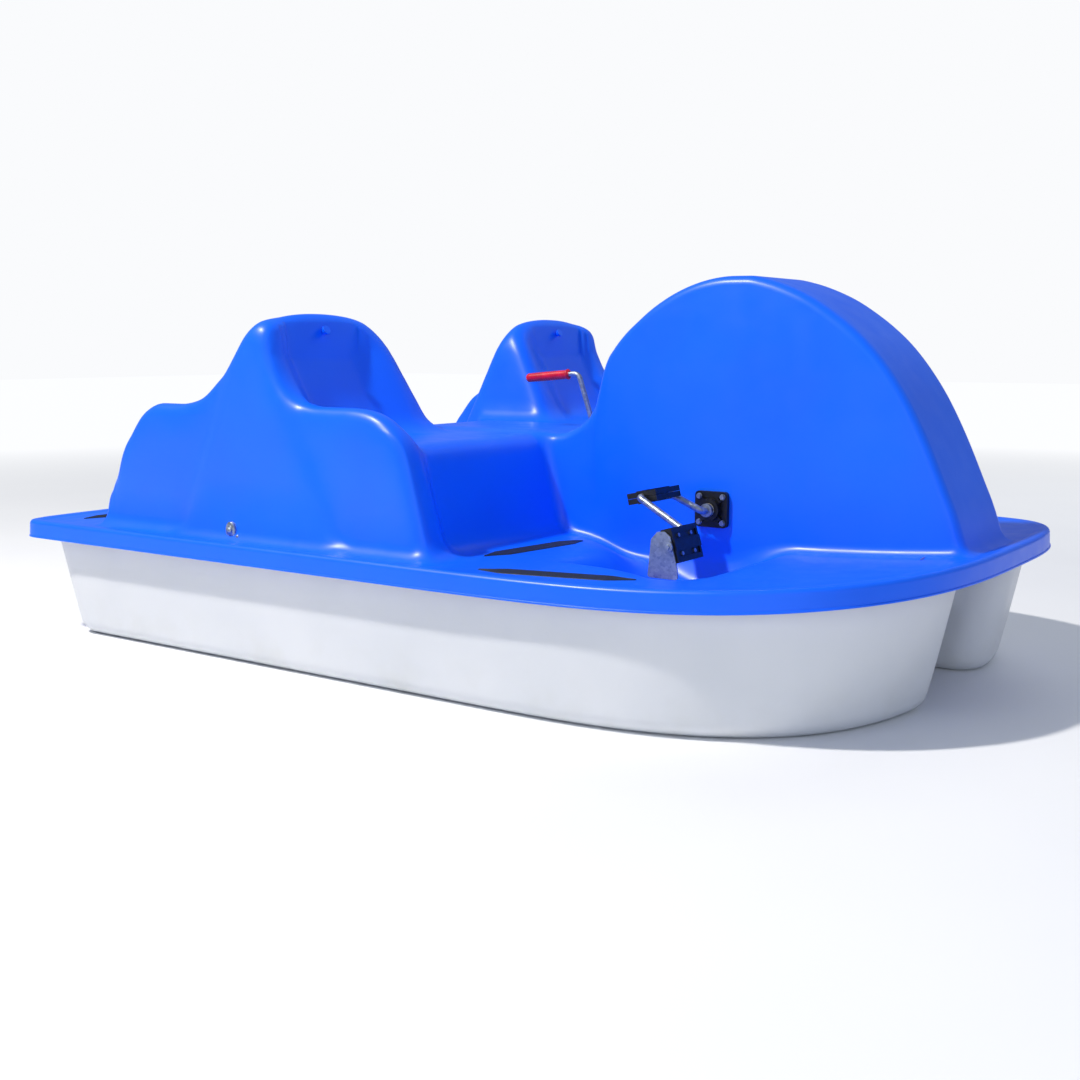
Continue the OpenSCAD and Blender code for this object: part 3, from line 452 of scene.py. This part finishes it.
def bar(name, path, rad, sides=32):
    """A closed round bar along a path: rings of the given radii, with a flat face at each end."""
    v = swept(path, np.broadcast_to(rad, len(path)), sides)
    m = len(path)
    faces = grid_faces(m, sides, wrap_n=True).tolist()
    faces += [list(range(sides))[::-1], list(range((m - 1) * sides, m * sides))]
    return outward(mesh_of(name, v.reshape(-1, 3), faces), tuple(path.mean(0)))


def lever():
    """The steering lever: a round bar up from the footstep, leaned forward, then bent back into a level handle."""
    stops = [[0.134, 0, 0.201], [0.134, 0, 0.682], BEND, TIP]
    return bar("lever_rod", rounded(stops, [0, 0.05, 0.024, 0], 14), LEVER_R)


def grip(start=0.034, past=0.004):
    """The dipped grip on the lever's handle, as radii by a formula: a flange at the hand's front, a barrel that swells
    in the middle with shallow finger rings 9 mm apart, and a domed end."""
    length = np.linalg.norm(TIP - BEND)
    s = np.linspace(0, 1, 90)
    reach = start + s * (length + past - start)
    rings = 0.0003 * np.sin(reach * 2 * np.pi / 0.009) * (s > 0.12) * (s < 0.9)
    flange = 0.0030 * np.exp(-(((s - 0.035) / 0.022) ** 2))
    barrel = 0.0138 + 0.0006 * np.sin(np.pi * s) + rings + flange
    dome = np.sqrt(np.clip(1 - np.clip((s - 0.94) / 0.0602, 0, 1) ** 2, 0.0004, 1))
    mouth = np.sqrt(np.clip(s / 0.012, 0.5, 1))
    return bar("lever_grip", BEND + reach[:, None] * (TIP - BEND) / length, barrel * dome * mouth)


# ---- colours and finishes ----
def linear(code):
    """A colour code of red, green and blue in sRGB, turned to linear light."""
    c = np.array([int(code[k : k + 2], 16) / 255 for k in (1, 3, 5)])
    c = np.where(c <= 0.04045, c / 12.92, ((c + 0.055) / 1.055) ** 2.4)
    return (*c.tolist(), 1.0)


def node(nt, kind, inputs=(), **settings):
    """Adds one shader node and its plain settings. Of its inputs, given by name or number, a node's output is linked
    and anything else is a constant."""
    nd = nt.nodes.new(kind)
    for key, val in settings.items():
        setattr(nd, key, val)
    for key, val in dict(inputs).items():
        if isinstance(val, bpy.types.NodeSocket):
            nt.links.new(val, nd.inputs[key])
        else:
            nd.inputs[key].default_value = val
    return nd


def material(name, dress):
    """A node material. dress(nt, co) takes the object coordinates and returns the inputs of its one shader."""
    m = bpy.data.materials.new(name)
    m.use_nodes = True
    nt = m.node_tree
    nt.nodes.clear()
    co = node(nt, "ShaderNodeTexCoord").outputs["Object"]
    sh = node(nt, "ShaderNodeBsdfPrincipled", dress(nt, co))
    node(nt, "ShaderNodeOutputMaterial", {"Surface": sh.outputs["BSDF"]})
    return m


def patches(nt, co, size, detail, low, high, least=0.0, most=1.0):
    """Soft patches about the given size in metres: noise between low and high, stretched to run from least to most."""
    cloud = node(nt, "ShaderNodeTexNoise", {"Vector": co, "Scale": 1 / size, "Detail": detail}).outputs["Fac"]
    span = {"Value": cloud, "From Min": low, "From Max": high, "To Min": least, "To Max": most}
    return node(nt, "ShaderNodeMapRange", span).outputs["Result"]


def two_tone(nt, co, size, detail, low, high, first, second, most=1.0):
    """The first colour with soft patches of the second, which are at most that strong."""
    amount = patches(nt, co, size, detail, low, high, 0.0, most)
    return node(nt, "ShaderNodeMix", {0: amount, 6: first, 7: second}, data_type="RGBA").outputs[2]


def relief(nt, co, *layers):
    """A normal from layers of bump. Each is a pair: a height, or the size in metres and detail of a noise, and then
    the layer's depth in metres."""
    below = {}
    for height, depth in layers:
        if isinstance(height, tuple):
            size, detail = height
            texture = {"Vector": co, "Scale": 1 / size, "Detail": detail}
            height = node(nt, "ShaderNodeTexNoise", texture).outputs["Fac"]
        bump = node(nt, "ShaderNodeBump", {"Height": height, "Strength": 1.0, "Distance": depth, **below})
        below = {"Normal": bump.outputs["Normal"]}
    return below["Normal"]


def polyethylene(nt, co, base, deep, rough, stain=None):
    """Rotationally moulded polyethylene. Powder melts on a hot steel mould, so the skin is coloured right through,
    softly glossy and very slightly wavy, with a fine orange peel and a little haze where it is handled. A stain
    gathers in blots below the waterline."""
    colour = two_tone(nt, co, 0.45, 3, 0.35, 0.65, linear(base), linear(deep))
    if stain:
        height = node(nt, "ShaderNodeSeparateXYZ", {"Vector": co}).outputs["Z"]
        wet = node(nt, "ShaderNodeMapRange", {"Value": height, "From Min": WATERLINE, "From Max": 0.0})
        blots = patches(nt, co, 0.12, 5, 0.45, 0.75, 0.0, 0.35)
        amount = node(nt, "ShaderNodeMath", {0: wet.outputs["Result"], 1: blots}, operation="MULTIPLY")
        mix = {0: amount.outputs[0], 6: colour, 7: linear(stain)}
        colour = node(nt, "ShaderNodeMix", mix, data_type="RGBA").outputs[2]
    return {
        "Base Color": colour,
        "Roughness": patches(nt, co, 0.07, 4, 0.3, 0.7, rough - 0.03, rough + 0.05),
        "IOR": 1.51,
        "Normal": relief(nt, co, ((0.16, 1), 0.0005), ((0.006, 1), 0.00001)),
    }


def blue_polyethylene(nt, co):
    """The deck's moulding: bright blue polyethylene, a shade deeper in broad soft patches."""
    return polyethylene(nt, co, "#0068FF", "#0062FA", 0.35)


def white_polyethylene(nt, co):
    """The hull's moulding: plain white polyethylene, with a faint grey stain low on its sides."""
    return polyethylene(nt, co, "#DADDE2", "#D2D6DC", 0.34, "#BDBEB6")


def black_rubber(nt, co):
    """Extruded black rubber with carbon black: nearly no colour, dull, with a fine bloom of dust in its hollows."""
    return {
        "Base Color": two_tone(nt, co, 0.03, 4, 0.5, 0.8, linear("#07142E"), linear("#10264A"), 0.5),
        "Roughness": patches(nt, co, 0.01, 3, 0.3, 0.7, 0.55, 0.72),
        "IOR": 1.52,
        "Normal": relief(nt, co, ((0.0015, 2), 0.00012)),
    }


def black_plastic(nt, co):
    """Injection-moulded black plastic: a spark-eroded grain in the mould leaves a fine, even, half-dull texture."""
    grain = node(nt, "ShaderNodeTexVoronoi", {"Vector": co, "Scale": 1 / 0.0012}).outputs["Distance"]
    return {
        "Base Color": two_tone(nt, co, 0.02, 4, 0.5, 0.75, linear("#0B0D14"), linear("#1C2028"), 0.6),
        "Roughness": patches(nt, co, 0.015, 3, 0.3, 0.7, 0.30, 0.48),
        "IOR": 1.50,
        "Normal": relief(nt, co, (grain, 0.00008)),
    }


def nylon(nt, co):
    """Turned nylon rod: waxy off-white, slightly see-through, with a fine roughness left by the lathe."""
    return {
        "Base Color": two_tone(nt, co, 0.02, 3, 0.0, 1.0, linear("#DCD9CE"), linear("#C9C5B6")),
        "Roughness": 0.38,
        "IOR": 1.53,
        "Subsurface Weight": 0.15,
        "Subsurface Radius": (0.004, 0.003, 0.002),
        "Normal": relief(nt, co, ((0.001, 2), 0.00005)),
    }


def cut_foam(nt, co):
    """Cut buoyancy foam: matt, pale, with open cells showing on every sawn face."""
    cells = node(nt, "ShaderNodeTexVoronoi", {"Vector": co, "Scale": 1 / 0.004}).outputs["Distance"]
    tone = node(nt, "ShaderNodeMapRange", {"Value": cells, "From Min": 0.1, "From Max": 0.7}).outputs["Result"]
    mix = {0: tone, 6: linear("#C9CBB8"), 7: linear("#E6E7DA")}
    return {
        "Base Color": node(nt, "ShaderNodeMix", mix, data_type="RGBA").outputs[2],
        "Roughness": 0.9,
        "IOR": 1.5,
        "Normal": relief(nt, co, (cells, 0.0008)),
    }


def dipped_red_vinyl(nt, co):
    """Dipped red vinyl on the lever: thick, soft and fairly glossy, with slow runs left by the dip."""
    return {
        "Base Color": two_tone(nt, co, 0.03, 3, 0.35, 0.65, linear("#D80A30"), linear("#B80526")),
        "Roughness": patches(nt, co, 0.02, 3, 0.3, 0.7, 0.28, 0.42),
        "IOR": 1.54,
        "Normal": relief(nt, co, ((0.012, 2), 0.0003)),
    }


def galvanised_steel(nt, co):
    """Hot-dip galvanised steel: zinc freezes in flat grains a few millimetres wide, each a little lighter or darker,
    under a thin dull oxide that softens the shine."""
    grains = node(nt, "ShaderNodeTexVoronoi", {"Vector": co, "Scale": 1 / 0.007})
    tint = node(nt, "ShaderNodeSeparateColor", {"Color": grains.outputs["Color"]}).outputs[0]
    mix = {0: tint, 6: linear("#8E9AAE"), 7: linear("#B4BECB")}
    zinc = node(nt, "ShaderNodeMix", mix, data_type="RGBA").outputs[2]
    shine = node(nt, "ShaderNodeMapRange", {"Value": tint, "To Min": 0.34, "To Max": 0.52})
    return {
        "Base Color": two_tone(nt, co, 0.05, 5, 0.50, 0.80, zinc, linear("#6A7382"), 0.55),
        "Metallic": 0.9,
        "Roughness": shine.outputs["Result"],
        "Normal": relief(nt, co, ((0.004, 3), 0.00012)),
    }


def floor_paint(nt, co):
    """Matt pale studio paint with hardly a tone in it, which fades into the backdrop 2.6 to 9 m from the middle."""
    away = node(nt, "ShaderNodeVectorMath", {"Vector": co}, operation="LENGTH").outputs["Value"]
    fade = node(nt, "ShaderNodeMapRange", {"Value": away, "From Min": 2.6, "From Max": 9.0}).outputs["Result"]
    paint = two_tone(nt, co, 0.8, 2, 0.0, 1.0, linear("#F1F3F6"), linear("#EAECF0"))
    colour = node(nt, "ShaderNodeMix", {0: fade, 6: paint, 7: linear("#000000")}, data_type="RGBA").outputs[2]
    return {
        "Base Color": colour,
        "Roughness": 0.75,
        "Emission Color": linear(BACKDROP),
        "Emission Strength": fade,
    }


plastic = material("black_plastic", black_plastic)
FINISH = {
    "blue_polyethylene": material("blue_polyethylene", blue_polyethylene),
    "white_polyethylene": material("white_polyethylene", white_polyethylene),
    "foam": material("cut_foam", cut_foam),
    "black_rubber": material("black_rubber", black_rubber),
    "black_plastic": plastic,
    "nylon": material("nylon", nylon),
    "blade_plastic": plastic,
    "red_rubber": material("dipped_red_vinyl", dipped_red_vinyl),
    "galvanised_steel": material("galvanised_steel", galvanised_steel),
}

# ---- the new pieces, each with its finish, the body it rides on and the CAD node it replaces ----
PLATE_R = [0.0105, 0.0112, 0.0128, 0.0135, 0.0165, 0.0245, 0.0258, 0.0260, 0.0260]
PLATE_OUT = [0.0005, 0.0050, 0.0058, 0.0040, 0.0034, 0.0030, 0.0022, 0.0010, -0.0120]
STOPPER_R = [0.0, 0.0060, 0.0070, 0.0100, 0.0106, 0.0107, 0.0107]
STOPPER_OUT = [0.0110, 0.0108, 0.0092, 0.0088, 0.0076, 0.0040, -0.0020]
HEAD_R = [0.0, 0.0030, 0.0052, 0.0060, 0.0060]
HEAD_OUT = [0.0036, 0.0032, 0.0020, 0.0004, -0.0080]
slots = {row["node"]: row["material_slot"] for row in frame["record"]["subparts"]}
BLUE, WHITE, STEEL = FINISH["blue_polyethylene"], FINISH["white_polyethylene"], FINISH["galvanised_steel"]
RUBBER, RED = FINISH["black_rubber"], FINISH["red_rubber"]
for piece, look, body, old in (
    (deck_skin(), BLUE, "boat", "deck_shell"),
    (hull(), WHITE, "boat", "hull_shell"),
    (rim(), BLUE, "boat", "deck_shell"),
    (turned("drain_plates", *DRAIN, PLATE_R, PLATE_OUT, squash=0.76), STEEL, "boat", "drain_flanges"),
    (turned("drain_stoppers", *DRAIN, STOPPER_R, STOPPER_OUT), STEEL, "boat", "drain_plugs"),
    # the look is steel, while the record has the CAD's tether screws in its rubber slot
    (turned("tether_heads", *TETHER, HEAD_R, HEAD_OUT), STEEL, "boat", "tether_screws"),
    (strips("rim_strips", (0.354, 0.880), (0.773, 0.783)), RUBBER, "boat", "strips_rim"),
    (strips("riser_strips", (0.236, 0.700), (0.288, 0.284)), RUBBER, "boat", "strips_riser"),
    (strips("stern_strips", (-1.330, 0.830), (-1.330, 0.300)), RUBBER, "boat", "strips_stern"),
    (screws(), STEEL, "boat", "rim_screws"),
    (lever(), STEEL, "steering", "steering_lever"),
    (grip(), RED, "steering", "steering_grip"),
):
    piece.data.materials.append(look)
    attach(piece, body)
    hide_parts(old)

# ---- every other CAD piece keeps its shape and takes the finish of its slot ----
for name, ob in frame["nodes"].items():
    if not ob.hide_render:
        ob.data.materials.clear()
        ob.data.materials.append(FINISH[slots[name]])

# ---- floor, light and camera ----
bpy.ops.mesh.primitive_plane_add(size=60, location=(0, 0, 0))
ground = bpy.context.object
ground.name = "studio_floor"
ground.data.materials.append(material("floor_paint", floor_paint))

# the camera sees a white backdrop, and the boat mirrors and is lit by a softer, bluer one
world = bpy.data.worlds.new("studio")
bpy.context.scene.world = world
world.use_nodes = True
wt = world.node_tree
wt.nodes.clear()
sky = node(wt, "ShaderNodeBackground", {"Color": linear("#D5E1F6"), "Strength": 0.34})
backdrop = node(wt, "ShaderNodeBackground", {"Color": linear(BACKDROP), "Strength": 1.0})
seen = node(wt, "ShaderNodeLightPath").outputs["Is Camera Ray"]
both = node(wt, "ShaderNodeMixShader", {0: seen, 1: sky.outputs[0], 2: backdrop.outputs[0]})
node(wt, "ShaderNodeOutputWorld", {"Surface": both.outputs[0]})


def lamp(name, place, aim, size, power, code="#FFFFFF", mirrored=True):
    """A square soft light at a place, turned to its aim, that glossy surfaces mirror or not."""
    data = bpy.data.lights.new(name, "AREA")
    data.size, data.energy, data.color = size, power, linear(code)[:3]
    ob = bpy.data.objects.new(name, data)
    ob.location = place
    ob.visible_glossy = mirrored
    ob.rotation_euler = (Vector(aim) - Vector(place)).to_track_quat("-Z", "Y").to_euler()
    bpy.context.scene.collection.objects.link(ob)


lamp("key", (-2.6, -4.2, 7.2), (0, 0, 0.3), 0.4, 720, "#FFF9F0")
lamp("fill", (4.5, -5.0, 2.6), (0, 0, 0.4), 4.0, 90, "#EEF4FF", mirrored=False)
lamp("rear", (1.0, 5.5, 4.5), (0, 0, 0.4), 4.0, 110, mirrored=False)

bpy.context.scene.view_settings.view_transform = "Standard"
az, el = math.radians(35.2), math.radians(8.27)
cam = bpy.data.objects.new("camera", bpy.data.cameras.new("camera"))
cam.data.lens, cam.data.sensor_width = 44.83, 36.0
cam.location = (2.443, -3.562, 0.930)
look = Vector((-math.sin(az) * math.cos(el), math.cos(az) * math.cos(el), -math.sin(el)))
cam.rotation_mode = "QUATERNION"
cam.rotation_quaternion = look.to_track_quat("-Z", "Y")
bpy.context.scene.collection.objects.link(cam)
bpy.context.scene.camera = cam
